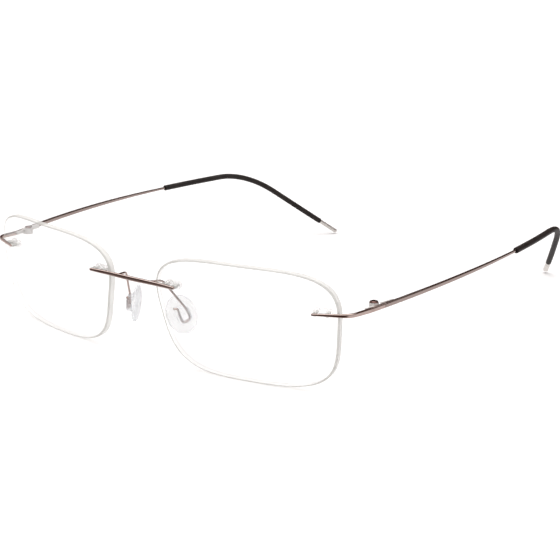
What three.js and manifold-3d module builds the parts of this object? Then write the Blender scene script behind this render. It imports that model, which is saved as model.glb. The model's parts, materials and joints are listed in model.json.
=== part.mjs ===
// Rimless eyeglasses: two drilled lenses clamped to a front bridge bar and two endpieces by
// clear plug sleeves, with wire pad arms, silicone nose pads and temples that fold on screws.
// Millimetres, +Z up, +X towards the wearer's left, +Y back along the temples.
import * as THREE from 'three';
import { mergeVertices } from 'three/addons/utils/BufferGeometryUtils.js';
import Module from 'manifold-3d';

const wasm = await Module();
wasm.setup();

const UP = new THREE.Vector3(0, 0, 1);
const { degToRad, clamp, lerp } = THREE.MathUtils;

// ---- Driving dimensions -------------------------------------------------------------------

// Lens blank. The outline is a superellipse whose corner exponents differ and whose sides
// spread outwards towards the top; spread is the share gained for each mm above the centre.
const LENS = {
  width: 52.5,
  height: 31.75,
  thickness: 1.6,
  bevel: 0.2,
  curveRadius: 115.4,
  topSlope: 0.0094,
  temporal: { topExponent: 3.49, bottomExponent: 3.83, spread: 0.0034 },
  nasal: { topExponent: 3.26, bottomExponent: 3.8, spread: 0.0096 },
  centreX: 35.83,
  centreZ: -4.84,
  wrap: degToRad(9.73),
  tilt: degToRad(6.14),
};
const OUTLINE_POINTS = 64;
const FACE_RINGS = [0.4, 0.75];
const DRILL_REACH = 4;

// Each lens carries two pin pairs, whose middles are given from the lens centre.
const NASAL_PINS = { u: -22.9, v: 6.85 };
const TEMPORAL_PINS = { u: 21.8, v: 5.65 };
const PIN = { radius: 0.27, pitch: 3.2, hole: 0.65 };

// Clear sleeve: a plate behind the lens with a hollow boss and a plug on each pin.
const SLEEVE = {
  width: 5.0,
  height: 2.0,
  plate: 0.6,
  lensGap: 0.1,
  bossRadius: 0.85,
  bossLength: 1.1,
  plugRadius: 0.56,
  plugInset: 0.2,
  bore: 0.35,
};

// Bars are rounded rectangles: depth is front to back or side to side, height is upright.
// Each list holds [place along the bar, size] stops. The bridge is the same on both sides, so
// its stops run from the middle to a tip, and the endpiece's run from its tip to the hinge.
const BAR_CORNER = 0.3;
const BRIDGE = {
  depth: 0.8,
  heights: [[0, 1.2], [0.5, 1.08], [0.8, 0.95], [1, 0.75]],
  overhang: { tip: 2.5, inner: 4.1 },
  rise: -0.1,
  steps: 14,
};
const ENDPIECE = {
  depth: 0.75,
  depths: [[0, 0.6], [0.45, 0.75], [1, 0.8]],
  heights: [[0, 0.55], [0.29, 0.85], [0.45, 1.04], [0.75, 1.25], [1, 1.27]],
  overhang: 2.4,
  run: 4.05,
  cornerShare: 0.95,
  lift: 0.45,
  bends: [2.6, 1.5],
  steps: 22,
};
const BAR_GAP = 0.08;
const JOIN_GAP = 0.05;

// Temple centreline, as a profile from the hinge: a shallow rise to the tip sleeve, a level
// run, a bend down behind the ear and a straight tip. It bows outwards, then curls inwards.
const TEMPLE = {
  hingeX: 66.14,
  hingeY: 19.0,
  hingeZ: 1.35,
  riseLength: 63.25,
  topZ: 2.74,
  levelRun: 24.1,
  bendRadius: 31.0,
  bendAngle: degToRad(40.9),
  tipRun: 25.0,
  bow: 7.6,
  pullIn: 6.61,
  curl: 0.514,
  depths: [[1, 0.8], [63, 0.62]],
  heights: [[12, 1.27], [34, 1.12], [50, 0.9], [63, 0.74]],
  core: [0.62, 0.74],
  blade: [1.5, 1.35],
  bladeLength: 6.6,
  shoulder: 0.15,
  steps: { rise: 16, level: 4, bend: 8, tail: 3, blade: 3 },
  tailStep: 6,
};
const TIP_SLEEVE = { radius: 0.88, boreHeight: 0.5, boreDepth: 0.44 };

// Hinge, in its own frame: X outwards from the screw axis, Y back along the temple.
const HINGE = {
  alongTemple: -0.75,
  seam: 1.35,
  seamGap: 0.08,
  faceOffset: 1.33,
  drop: -0.05,
  leaf: 0.45,
  leafHeight: 0.9,
  knuckleRadius: 1.25,
  clearance: 1.47,
  bodyHeight: 1.8,
  midHeight: 0.6,
  play: 0.04,
  frontReach: 4.2,
  backReach: 6.0,
  backRise: 0.35,
};
const SCREW = {
  radius: 0.42,
  bore: 0.5,
  headRadius: 1.1,
  headHeight: 0.5,
  crownRadius: 0.83,
  slot: 0.24,
  slotDepth: 0.25,
};

// Nose pad: an oval pebble with a raised boss on its outer face that holds the wire hook.
const PAD = {
  centre: new THREE.Vector3(8.4, 7.6, -8.65),
  yaw: degToRad(30),
  pitch: degToRad(7.5),
  longAxis: new THREE.Vector3(-0.4, -0.2, 0.9),
  halfLength: 5.6,
  halfWidth: 4.25,
  halfThickness: 0.75,
  rimPower: 0.38,
  bossHalfWidth: 1.95,
  bossHalfLength: 2.2,
  bossCorner: 1.3,
  bossTop: 2.65,
};
const ARM = {
  radius: 0.3,
  channel: 0.48,
  rootX: 5.8,
  rootZ: 2.05,
  stub: 0.8,
  elbow: new THREE.Vector3(6.7, 2.3, 1.7),
  hookHeight: 2.15,
  hookHalfWidth: 1.3,
  hookTop: 1.25,
  hookBottom: -1.75,
  hookEnd: [[0.85, 2.35], [1.95, 3.05]],
  bends: [0.5, 1.2, 0.7, 1.25, 1.25, 0.4],
  steps: 38,
};

// Cutting tools run this far past the faces that they cut.
const CUT_PAST = 1;

// ---- Materials ----------------------------------------------------------------------------

function material(color, metalness, roughness, opacity = 1) {
  return new THREE.MeshStandardMaterial({
    color, metalness, roughness, opacity, transparent: opacity < 1,
  });
}

const POLISHED = material(0xb39b93, 1, 0.16);
const SATIN = material(0xa8968f, 1, 0.32);
const SILVER = material(0xc9c4c0, 1, 0.28);
const CLEAR_LENS = material(0xf4f7f5, 0, 0.04, 0.2);
const CLEAR_PLASTIC = material(0xf0f0ee, 0, 0.15, 0.35);
const SILICONE = material(0xf3f3f3, 0, 0.25, 0.45);
const RUBBER = material(0x1d1b1b, 0, 0.55);

// ---- Geometry helpers ---------------------------------------------------------------------

// One copy of each shared vertex, so that the surface is closed.
function weld(geometry) {
  const welded = geometry.clone();
  welded.deleteAttribute('normal');
  welded.deleteAttribute('uv');
  return mergeVertices(welded);
}

function solidOf(geometry) {
  const welded = weld(geometry);
  const vertProperties = new Float32Array(welded.attributes.position.array);
  const triVerts = new Uint32Array(welded.index.array);
  return new wasm.Manifold(new wasm.Mesh({ numProp: 3, vertProperties, triVerts }));
}

function geometryOf(solid) {
  const mesh = solid.getMesh();
  const geometry = new THREE.BufferGeometry();
  geometry.setAttribute('position', new THREE.BufferAttribute(mesh.vertProperties, 3));
  geometry.setIndex(new THREE.BufferAttribute(mesh.triVerts, 1));
  geometry.computeVertexNormals();
  return geometry;
}

// Joins the first list of geometries and cuts the second list from the result.
function carve(joined, cuts) {
  const whole = joined.map(solidOf).reduce((sum, solid) => sum.add(solid));
  return geometryOf(cuts.map(solidOf).reduce((rest, solid) => rest.subtract(solid), whole));
}

function roundedRectangle(width, height, corner) {
  const x = width / 2 - corner;
  const y = height / 2 - corner;
  const shape = new THREE.Shape();
  shape.absarc(x, y, corner, 0, Math.PI / 2);
  shape.absarc(-x, y, corner, Math.PI / 2, Math.PI);
  shape.absarc(-x, -y, corner, Math.PI, Math.PI * 1.5);
  shape.absarc(x, -y, corner, Math.PI * 1.5, Math.PI * 2);
  shape.closePath();
  return shape;
}

function ellipse(radiusX, radiusY) {
  return new THREE.Shape().absellipse(0, 0, radiusX, radiusY, 0, Math.PI * 2);
}

// Straight extrusion with one slice for each station, bent along a centreline. The section's
// Y stays as upright as the centreline allows, and scaleAt resizes it at each station.
function sweep(section, stations, pointAt, scaleAt = () => [1, 1], curveSegments = 1) {
  const steps = stations.length - 1;
  const nudge = (stations[steps] - stations[0]) * 1e-4;
  const frames = stations.map((station) => {
    const centre = pointAt(station);
    const tangent = pointAt(station + nudge).sub(pointAt(station - nudge)).normalize();
    const across = tangent.clone().cross(UP).normalize();
    const upright = across.clone().cross(tangent);
    return { centre, across, upright, scale: scaleAt(station) };
  });
  const geometry = new THREE.ExtrudeGeometry(section, {
    depth: 1, steps, bevelEnabled: false, curveSegments,
  });
  const position = geometry.attributes.position;
  const point = new THREE.Vector3();
  for (let i = 0; i < position.count; i++) {
    point.fromBufferAttribute(position, i);
    const frame = frames[Math.round(point.z * steps)];
    const placed = frame.centre.clone()
      .addScaledVector(frame.across, -point.x * frame.scale[0])
      .addScaledVector(frame.upright, point.y * frame.scale[1]);
    position.setXYZ(i, placed.x, placed.y, placed.z);
  }
  return geometry;
}

// Size at a place along a bar, read straight between the nearest [place, size] stops.
function sizeAt(place, stops) {
  const next = stops.findIndex(([stop]) => stop >= place);
  if (next === 0) return stops[0][1];
  if (next < 0) return stops.at(-1)[1];
  const [[from, low], [to, high]] = [stops[next - 1], stops[next]];
  return lerp(low, high, (place - from) / (to - from));
}

function evenly(from, to, count) {
  return Array.from({ length: count + 1 }, (_, i) => lerp(from, to, i / count));
}

// Straight runs joined by curves that start the given reach before each corner.
function bentPath(points, reaches) {
  const path = new THREE.CurvePath();
  let start = points[0];
  reaches.forEach((reach, i) => {
    const corner = points[i + 1];
    const towards = (end) => end.clone().sub(corner).setLength(reach).add(corner);
    const enter = towards(points[i]);
    const leave = towards(points[i + 2]);
    path.add(new THREE.LineCurve3(start, enter));
    path.add(new THREE.QuadraticBezierCurve3(enter, corner, leave));
    start = leave;
  });
  path.add(new THREE.LineCurve3(start, points.at(-1)));
  return path;
}

function wire(path, radius, steps, curveSegments) {
  return new THREE.ExtrudeGeometry(ellipse(radius, radius), {
    steps, extrudePath: path, bevelEnabled: false, curveSegments,
  });
}

function cylinderZ(radius, bottom, top, sides = 24) {
  const geometry = new THREE.CylinderGeometry(radius, radius, top - bottom, sides);
  return geometry.rotateX(Math.PI / 2).translate(0, 0, (bottom + top) / 2);
}

function cylinderY(radius, front, back, x, sides = 14) {
  const geometry = new THREE.CylinderGeometry(radius, radius, back - front, sides);
  return geometry.translate(x, (front + back) / 2, 0);
}

function box(from, to) {
  const size = to.map((value, i) => value - from[i]);
  const centre = to.map((value, i) => (value + from[i]) / 2);
  return new THREE.BoxGeometry(...size).translate(...centre);
}

function mesh(name, geometry, finish, placement) {
  const part = new THREE.Mesh(geometry, finish);
  part.name = name;
  if (placement) part.applyMatrix4(placement);
  return part;
}

// ---- Lens ---------------------------------------------------------------------------------

function lensOutline(index) {
  const angle = (index / OUTLINE_POINTS) * Math.PI * 2;
  const c = Math.cos(angle);
  const s = Math.sin(angle);
  const edge = c >= 0 ? LENS.temporal : LENS.nasal;
  const power = 2 / (s >= 0 ? edge.topExponent : edge.bottomExponent);
  const v = (LENS.height / 2) * Math.sign(s) * Math.abs(s) ** power;
  const u = (LENS.width / 2) * Math.sign(c) * Math.abs(c) ** power * (1 + edge.spread * v);
  return [u, v + LENS.topSlope * u];
}

// Depth is measured back from the front face, which bulges forwards as part of a sphere.
function lensSurface(u, v, depth) {
  return new THREE.Vector3(u, (u * u + v * v) / (2 * LENS.curveRadius) + depth, v);
}

function lensBlank() {
  const faceEdge = 1 - LENS.bevel / (LENS.height / 2);
  const face = [...FACE_RINGS, faceEdge];
  const layers = [
    ...face.map((scale) => [scale, 0]),
    [1, LENS.bevel],
    [1, LENS.thickness - LENS.bevel],
    ...face.toReversed().map((scale) => [scale, LENS.thickness]),
  ];
  const points = [lensSurface(0, 0, 0)];
  for (const [scale, depth] of layers) {
    for (let i = 0; i < OUTLINE_POINTS; i++) {
      const [u, v] = lensOutline(i);
      points.push(lensSurface(u * scale, v * scale, depth));
    }
  }
  points.push(lensSurface(0, 0, LENS.thickness));
  const back = points.length - 1;
  const index = [];
  const vertex = (layer, i) => 1 + layer * OUTLINE_POINTS + (i % OUTLINE_POINTS);
  for (let i = 0; i < OUTLINE_POINTS; i++) {
    index.push(0, vertex(0, i), vertex(0, i + 1));
    for (let layer = 1; layer < layers.length; layer++) {
      const inner = [vertex(layer - 1, i), vertex(layer - 1, i + 1)];
      const outer = [vertex(layer, i), vertex(layer, i + 1)];
      index.push(inner[0], outer[0], outer[1], inner[0], outer[1], inner[1]);
    }
    index.push(back, vertex(layers.length - 1, i + 1), vertex(layers.length - 1, i));
  }
  return new THREE.BufferGeometry().setFromPoints(points).setIndex(index);
}

const lensPlacement = new THREE.Matrix4()
  .makeRotationFromEuler(new THREE.Euler(LENS.tilt, 0, LENS.wrap, 'ZYX'))
  .setPosition(LENS.centreX, 0, LENS.centreZ);

// Frame of a pin pair: X along the bar, Y straight back through the lens, Z upwards.
function pinFrame({ u, v }) {
  const through = new THREE.Vector3(-u / LENS.curveRadius, 1, -v / LENS.curveRadius)
    .transformDirection(lensPlacement);
  const along = through.clone().cross(UP).normalize();
  const upwards = along.clone().cross(through);
  const origin = lensSurface(u, v, 0).applyMatrix4(lensPlacement);
  return new THREE.Matrix4().makeBasis(along, through, upwards).setPosition(origin);
}

const nasalFrame = pinFrame(NASAL_PINS);
const temporalFrame = pinFrame(TEMPORAL_PINS);
const PIN_X = [-PIN.pitch / 2, PIN.pitch / 2];

function lens() {
  const holes = [nasalFrame, temporalFrame].flatMap((frame) => PIN_X.map((x) => (
    cylinderY(PIN.hole, -DRILL_REACH, DRILL_REACH, x, 16).applyMatrix4(frame)
  )));
  return carve([lensBlank().applyMatrix4(lensPlacement)], holes);
}

function plugSleeve() {
  const front = LENS.thickness + SLEEVE.lensGap;
  const corner = SLEEVE.height / 2 - JOIN_GAP;
  const outline = roundedRectangle(SLEEVE.width, SLEEVE.height, corner);
  const plate = new THREE.ExtrudeGeometry(outline, {
    depth: SLEEVE.plate, bevelEnabled: false, curveSegments: 3,
  }).rotateX(-Math.PI / 2).translate(0, front, 0);
  const end = front + SLEEVE.bossLength;
  const bosses = PIN_X.map((x) => cylinderY(SLEEVE.bossRadius, front + JOIN_GAP, end, x));
  const plugEnd = front + SLEEVE.plate / 2;
  const plugs = PIN_X.map((x) => cylinderY(SLEEVE.plugRadius, SLEEVE.plugInset, plugEnd, x));
  const bores = PIN_X.map((x) => cylinderY(SLEEVE.bore, -CUT_PAST, end + CUT_PAST, x));
  return carve([plate, ...bosses, ...plugs], bores);
}

function pin(x) {
  const end = LENS.thickness + SLEEVE.lensGap + SLEEVE.bossLength - PIN.radius;
  return cylinderY(PIN.radius, JOIN_GAP - BAR_GAP, end, x);
}

// ---- Front bars ---------------------------------------------------------------------------

// Point on a bar's centreline where it crosses a lens, at a distance along the pin frame.
function onLens(frame, along, depth) {
  return new THREE.Vector3(along, -BAR_GAP - depth / 2, 0).applyMatrix4(frame);
}

function mirrored(point) {
  return new THREE.Vector3(-point.x, point.y, point.z);
}

function bridge() {
  const tip = onLens(nasalFrame, BRIDGE.overhang.tip, BRIDGE.depth);
  const inner = onLens(nasalFrame, -BRIDGE.overhang.inner, BRIDGE.depth);
  const middle = new THREE.Vector3(0, inner.y, inner.z + BRIDGE.rise);
  const path = new THREE.CatmullRomCurve3([mirrored(tip), mirrored(inner), middle, inner, tip]);
  const pointAt = (t) => path.getPointAt(clamp(t, 0, 1));
  const scaleAt = (t) => [BRIDGE.depth, sizeAt(Math.abs(2 * t - 1), BRIDGE.heights)];
  return sweep(roundedRectangle(1, 1, BAR_CORNER), evenly(0, 1, BRIDGE.steps), pointAt, scaleAt);
}

const BEND_LENGTH = TEMPLE.bendRadius * TEMPLE.bendAngle;
const LEVEL_END = TEMPLE.riseLength + TEMPLE.levelRun;
const BEND_END = LEVEL_END + BEND_LENGTH;
const TEMPLE_END = BEND_END + TEMPLE.tipRun;
const SLEEVE_END = TEMPLE_END - TEMPLE.bladeLength;

// Centreline of the temple at a distance from the hinge, measured along its side profile.
function templePoint(distance) {
  const t = distance / TEMPLE.riseLength;
  const arc = clamp((distance - LEVEL_END) / TEMPLE.bendRadius, 0, TEMPLE.bendAngle);
  const tail = Math.max(0, distance - BEND_END);
  const drop = TEMPLE.bendRadius * (1 - Math.cos(arc)) + tail * Math.sin(TEMPLE.bendAngle);
  const run = TEMPLE.bendRadius * Math.sin(arc) + tail * Math.cos(TEMPLE.bendAngle);
  const rise = (TEMPLE.topZ - TEMPLE.hingeZ) * Math.max(0, 1 - t) ** 2;
  const y = TEMPLE.hingeY + Math.min(distance, LEVEL_END) + run;
  const z = TEMPLE.topZ - rise - drop;
  const back = (y - TEMPLE.hingeY) / TEMPLE.riseLength;
  const x = TEMPLE.hingeX + TEMPLE.bow * back - TEMPLE.pullIn * back ** 2
    - TEMPLE.curl * (TEMPLE.topZ - z);
  return new THREE.Vector3(x, y, z);
}

function endpiecePath() {
  const tip = onLens(temporalFrame, -ENDPIECE.overhang, ENDPIECE.depth);
  const leave = onLens(temporalFrame, ENDPIECE.run, ENDPIECE.depth);
  const seam = templePoint(HINGE.seam - HINGE.seamGap);
  const side = templePoint(-HINGE.frontReach);
  const sideways = leave.clone().sub(tip).normalize();
  const reach = (side.x - leave.x) * ENDPIECE.cornerShare;
  const corner = leave.clone().addScaledVector(sideways, reach);
  corner.z += ENDPIECE.lift;
  return bentPath([tip, corner, side, seam], ENDPIECE.bends);
}

function endpiece() {
  const path = endpiecePath();
  const pointAt = (t) => path.getPointAt(clamp(t, 0, 1));
  const scaleAt = (t) => [sizeAt(t, ENDPIECE.depths), sizeAt(t, ENDPIECE.heights)];
  return sweep(roundedRectangle(1, 1, BAR_CORNER), evenly(0, 1, ENDPIECE.steps), pointAt, scaleAt);
}

// ---- Temple -------------------------------------------------------------------------------

function templeSize(distance) {
  if (distance > SLEEVE_END + TEMPLE.shoulder / 2) return TEMPLE.blade;
  if (distance > TEMPLE.riseLength) return TEMPLE.core;
  return [sizeAt(distance, TEMPLE.depths), sizeAt(distance, TEMPLE.heights)];
}

// Stations from the start of the tip sleeve to its end, closer together round the bend.
function sleevedStations(start) {
  const { level, bend, tail } = TEMPLE.steps;
  return [
    ...evenly(start, LEVEL_END, level),
    ...evenly(LEVEL_END + BEND_LENGTH / bend, BEND_END, bend - 1),
    ...evenly(BEND_END + TEMPLE.tailStep, SLEEVE_END, tail),
  ];
}

function temple() {
  const stations = [
    ...evenly(HINGE.seam, TEMPLE.riseLength, TEMPLE.steps.rise),
    ...sleevedStations(TEMPLE.riseLength + TEMPLE.shoulder),
    ...evenly(SLEEVE_END + TEMPLE.shoulder, TEMPLE_END, TEMPLE.steps.blade),
  ];
  return sweep(roundedRectangle(1, 1, BAR_CORNER), stations, templePoint, templeSize);
}

function tipSleeve() {
  const section = ellipse(TIP_SLEEVE.radius, TIP_SLEEVE.radius);
  section.holes.push(ellipse(TIP_SLEEVE.boreDepth, TIP_SLEEVE.boreHeight));
  return sweep(section, sleevedStations(TEMPLE.riseLength), templePoint, undefined, 6);
}

// ---- Hinge --------------------------------------------------------------------------------

// Frame of the screw axis, beside the inner face of the bar, turned to follow the temple.
function hingeFrame() {
  const centre = templePoint(HINGE.alongTemple);
  const ahead = templePoint(HINGE.seam).sub(centre);
  const yaw = Math.atan2(ahead.x, ahead.y);
  const inset = HINGE.faceOffset + ENDPIECE.depths.at(-1)[1] / 2;
  const place = new THREE.Matrix4().makeTranslation(centre.x, centre.y, centre.z);
  return place.multiply(new THREE.Matrix4().makeRotationZ(-yaw))
    .multiply(new THREE.Matrix4().makeTranslation(-inset, 0, -HINGE.drop));
}

const leafOuter = HINGE.faceOffset - JOIN_GAP;
const leafInner = leafOuter - HINGE.leaf;
const halfBody = HINGE.bodyHeight / 2;
const halfMid = HINGE.midHeight / 2;
const leafBottom = HINGE.drop - HINGE.leafHeight / 2;
const leafTop = HINGE.drop + HINGE.leafHeight / 2;

// Fixed half: two outer knuckles on a leaf that runs forwards along the endpiece.
function hingeBody() {
  const leaf = box([leafInner, -HINGE.frontReach, leafBottom], [leafOuter, 0, leafTop]);
  const web = box([0, -HINGE.knuckleRadius, -halfBody], [leafOuter, 0, halfBody]);
  const barrel = cylinderZ(HINGE.knuckleRadius, -halfBody, halfBody);
  const slot = cylinderZ(HINGE.clearance, -halfMid, halfMid);
  const bore = cylinderZ(SCREW.bore, -halfBody - CUT_PAST, halfBody + CUT_PAST, 16);
  return carve([leaf, web, barrel], [slot, bore]);
}

// Moving half: one middle knuckle on a leaf that runs back along the temple.
function hingeLeaf() {
  const start = HINGE.clearance;
  const half = halfMid - HINGE.play;
  const top = leafTop + HINGE.backRise;
  const leaf = box([leafInner, start, leafBottom], [leafOuter, HINGE.backReach, top]);
  const web = box([0, 0, -half], [leafOuter, start + JOIN_GAP, half]);
  const barrel = cylinderZ(HINGE.knuckleRadius, -half, half);
  const bore = cylinderZ(SCREW.bore, -halfBody, halfBody, 16);
  return carve([leaf, web, barrel], [bore]);
}

function hingeScrew() {
  const seat = halfBody + HINGE.play;
  const top = seat + SCREW.headHeight;
  const profile = [
    [0, -halfBody], [SCREW.radius, -halfBody], [SCREW.radius, seat], [SCREW.headRadius, seat],
    [SCREW.headRadius, top - SCREW.slotDepth], [SCREW.crownRadius, top], [0, top],
  ].map(([r, z]) => new THREE.Vector2(r, z));
  const turned = new THREE.LatheGeometry(profile, 20).rotateX(Math.PI / 2);
  const reach = SCREW.headRadius + CUT_PAST;
  const bottom = top - SCREW.slotDepth;
  const slot = box([-SCREW.slot / 2, -reach, bottom], [SCREW.slot / 2, reach, top + CUT_PAST]);
  return carve([turned], [slot]);
}

// ---- Nose pad and its arm -----------------------------------------------------------------

// Frame of a pad: X towards the wearer's ear, Y up its long axis, Z out through its boss.
function padFrame() {
  const outwards = new THREE.Vector3(
    Math.cos(PAD.yaw) * Math.cos(PAD.pitch),
    -Math.sin(PAD.yaw) * Math.cos(PAD.pitch),
    Math.sin(PAD.pitch),
  );
  const long = PAD.longAxis.clone().projectOnPlane(outwards).normalize();
  const wide = long.clone().cross(outwards);
  return new THREE.Matrix4().makeBasis(wide, long, outwards).setPosition(PAD.centre);
}

const padPlacement = padFrame();

function armPath() {
  const inner = onLens(nasalFrame, -BRIDGE.overhang.inner, BRIDGE.depth);
  const barBack = inner.y + BRIDGE.depth / 2;
  const root = new THREE.Vector3(ARM.rootX, barBack + JOIN_GAP, ARM.rootZ);
  const stub = root.clone().setY(root.y + ARM.stub);
  const hook = [
    [-ARM.hookHalfWidth, ARM.hookTop],
    [-ARM.hookHalfWidth, ARM.hookBottom],
    [ARM.hookHalfWidth, ARM.hookBottom],
    ...ARM.hookEnd,
  ].map(([forwards, along]) => (
    new THREE.Vector3(-forwards, along, ARM.hookHeight).applyMatrix4(padPlacement)
  ));
  return bentPath([root, stub, ARM.elbow, ...hook], ARM.bends);
}

function padArm() {
  return wire(armPath(), ARM.radius, ARM.steps, 4);
}

// The pebble's half section, with a rounded rim, is turned and then widened to an oval.
function padPebble() {
  const rimPoints = 8;
  const profile = evenly(-Math.PI / 2, Math.PI / 2, rimPoints).map((angle) => {
    const radius = Math.cos(angle) ** PAD.rimPower;
    return new THREE.Vector2(radius, Math.sin(angle) * PAD.halfThickness);
  });
  profile[0].x = 0;
  profile[rimPoints].x = 0;
  return new THREE.LatheGeometry(profile, 24).rotateX(Math.PI / 2)
    .scale(PAD.halfWidth, PAD.halfLength, 1);
}

function nosePad() {
  const outline = roundedRectangle(PAD.bossHalfWidth * 2, PAD.bossHalfLength * 2, PAD.bossCorner);
  const boss = new THREE.ExtrudeGeometry(outline, {
    depth: PAD.bossTop, bevelEnabled: false, curveSegments: 3,
  });
  const solid = [padPebble(), boss].map((piece) => piece.applyMatrix4(padPlacement));
  return carve(solid, [wire(armPath(), ARM.channel, ARM.steps, 5)]);
}

// ---- Assembly -----------------------------------------------------------------------------

// Everything on one side, built for the wearer's left and mirrored for the right.
function side(suffix, sign) {
  const group = new THREE.Group();
  group.scale.x = sign;
  const hinge = hingeFrame();
  const mounts = [['bridge', nasalFrame], ['endpiece', temporalFrame]];
  group.add(
    mesh(`lens_${suffix}`, lens(), CLEAR_LENS),
    mesh(`endpiece_${suffix}`, endpiece(), POLISHED),
    mesh(`hinge_body_${suffix}`, hingeBody(), SATIN, hinge),
    mesh(`hinge_screw_${suffix}`, hingeScrew(), POLISHED, hinge),
    mesh(`hinge_leaf_${suffix}`, hingeLeaf(), SATIN, hinge),
    mesh(`temple_${suffix}`, temple(), SATIN),
    mesh(`tip_sleeve_${suffix}`, tipSleeve(), RUBBER),
    mesh(`pad_arm_${suffix}`, padArm(), POLISHED),
    mesh(`nose_pad_${suffix}`, nosePad(), SILICONE),
  );
  for (const [holder, frame] of mounts) {
    group.add(mesh(`plug_sleeve_${holder}_${suffix}`, plugSleeve(), CLEAR_PLASTIC, frame));
    PIN_X.forEach((x, i) => {
      group.add(mesh(`${holder}_pin_${suffix}_${i + 1}`, pin(x), SILVER, frame));
    });
  }
  return group;
}

function lowestPoint(object) {
  const lowest = new THREE.Vector3(0, 0, Infinity);
  const point = new THREE.Vector3();
  const position = object.geometry.attributes.position;
  object.updateWorldMatrix(true, false);
  for (let i = 0; i < position.count; i++) {
    point.fromBufferAttribute(position, i).applyMatrix4(object.matrixWorld);
    if (point.z < lowest.z) lowest.copy(point);
  }
  return lowest;
}

// Pitches the glasses until the lens and the temple tip stand at the same height.
function level(assembly) {
  for (let pass = 0; pass < 3; pass++) {
    const front = lowestPoint(assembly.getObjectByName('lens_left'));
    const rear = lowestPoint(assembly.getObjectByName('temple_left'));
    assembly.rotation.x += Math.atan2(front.z - rear.z, rear.y - front.y);
  }
}

const assembly = new THREE.Group();
assembly.add(mesh('bridge_bar', bridge(), POLISHED), side('left', 1), side('right', -1));
level(assembly);

// The origin is under the middle of the glasses, on the surface that they stand on.
const glasses = new THREE.Group();
glasses.add(assembly);
const bounds = new THREE.Box3().setFromObject(glasses, true);
const middle = bounds.getCenter(new THREE.Vector3());
assembly.position.set(-middle.x, -middle.y, -bounds.min.z);
glasses.updateMatrixWorld(true);

export default glasses;
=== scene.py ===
import json
import math
from bisect import bisect_left

import bpy
from mathutils import Matrix, Vector

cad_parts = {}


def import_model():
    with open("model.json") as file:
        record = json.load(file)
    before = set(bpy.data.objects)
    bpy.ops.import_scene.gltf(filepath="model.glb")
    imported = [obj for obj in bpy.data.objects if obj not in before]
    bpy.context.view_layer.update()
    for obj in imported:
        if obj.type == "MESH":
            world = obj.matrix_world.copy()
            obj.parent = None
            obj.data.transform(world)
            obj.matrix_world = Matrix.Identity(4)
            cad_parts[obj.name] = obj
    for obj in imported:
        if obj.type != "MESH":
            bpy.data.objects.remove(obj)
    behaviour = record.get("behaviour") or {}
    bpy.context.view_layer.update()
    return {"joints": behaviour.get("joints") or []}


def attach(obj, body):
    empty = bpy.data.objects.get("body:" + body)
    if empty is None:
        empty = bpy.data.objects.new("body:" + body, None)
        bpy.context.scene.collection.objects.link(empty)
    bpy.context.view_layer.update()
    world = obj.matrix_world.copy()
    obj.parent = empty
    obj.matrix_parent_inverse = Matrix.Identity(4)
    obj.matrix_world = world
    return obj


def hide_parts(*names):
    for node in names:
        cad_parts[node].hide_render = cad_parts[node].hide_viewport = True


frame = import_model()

MILLIMETRE = 0.001
UP = Vector((0, 0, 1))
SIDES = {"left": 1, "right": -1}

# ---- Driving dimensions, in millimetres ---------------------------------------------------
#
# Angles are in radians. Corners, slopes and outline powers have no unit, and the spread of a
# lens's edge is a share for each millimetre up. In a list of (place, size) stops, a place is
# a share of the bar's length or, on the temple, a distance from the hinge.

LENS_WIDTH, LENS_HEIGHT, LENS_THICKNESS = 52.5, 31.75, 1.6
LENS_CURVE = 115.4
# The middle width is a strip of clear face beside the bevel that is painted darker grey, a painted
# shade line along the lens's rim.
LENS_BEVEL, PAINTED_LINE_WIDTH, FACE_SAG = 0.16, 0.18, 0.04
LENS_TOP_SLOPE = 0.0094
LENS_CENTRE = Vector((35.83, 0, -4.84))
LENS_WRAP, LENS_TILT = math.radians(9.73), math.radians(6.14)
TEMPORAL_EDGE = {"top": 3.49, "bottom": 3.83, "spread": 0.0034}
NASAL_EDGE = {"top": 3.26, "bottom": 3.8, "spread": 0.0096}

NASAL_PINS, TEMPORAL_PINS = (-22.9, 6.85), (21.8, 5.65)
PIN_RADIUS, PIN_PITCH, PIN_HOLE = 0.27, 3.2, 0.65
PIN_X = (-PIN_PITCH / 2, PIN_PITCH / 2)

SLEEVE_WIDTH, SLEEVE_HEIGHT, SLEEVE_PLATE = 5.0, 2.0, 0.6
SLEEVE_FRONT = LENS_THICKNESS + 0.1
SLEEVE_END = SLEEVE_FRONT + 1.1
BOSS_RADIUS, PLUG_RADIUS, PLUG_INSET, SLEEVE_BORE = 0.85, 0.56, 0.2, 0.35
SLEEVE_ROUNDING = 0.09

BAR_GAP, JOIN_GAP, BAR_CORNER = 0.08, 0.05, 0.3
BRIDGE_DEPTH, BRIDGE_RISE = 0.8, -0.1
BRIDGE_TIP, BRIDGE_INNER = 2.5, 4.1
BRIDGE_BENDS, BRIDGE_END_RADIUS = (1.5, 3.0, 1.5), 0.34
BRIDGE_HEIGHTS = ((0, 1.2), (0.5, 1.08), (0.8, 0.95), (1, 0.75))
ENDPIECE_DEPTH = 0.75
ENDPIECE_TIP, ENDPIECE_RUN, ENDPIECE_CORNER, ENDPIECE_LIFT = 2.4, 4.05, 0.95, 0.45
ENDPIECE_BENDS, ENDPIECE_END_RADIUS = (2.6, 1.5), 0.26
ENDPIECE_DEPTHS = ((0, 0.6), (0.45, 0.75), (1, 0.8))
ENDPIECE_HEIGHTS = ((0, 0.55), (0.29, 0.85), (0.45, 1.04), (0.75, 1.25), (1, 1.27))

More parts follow.
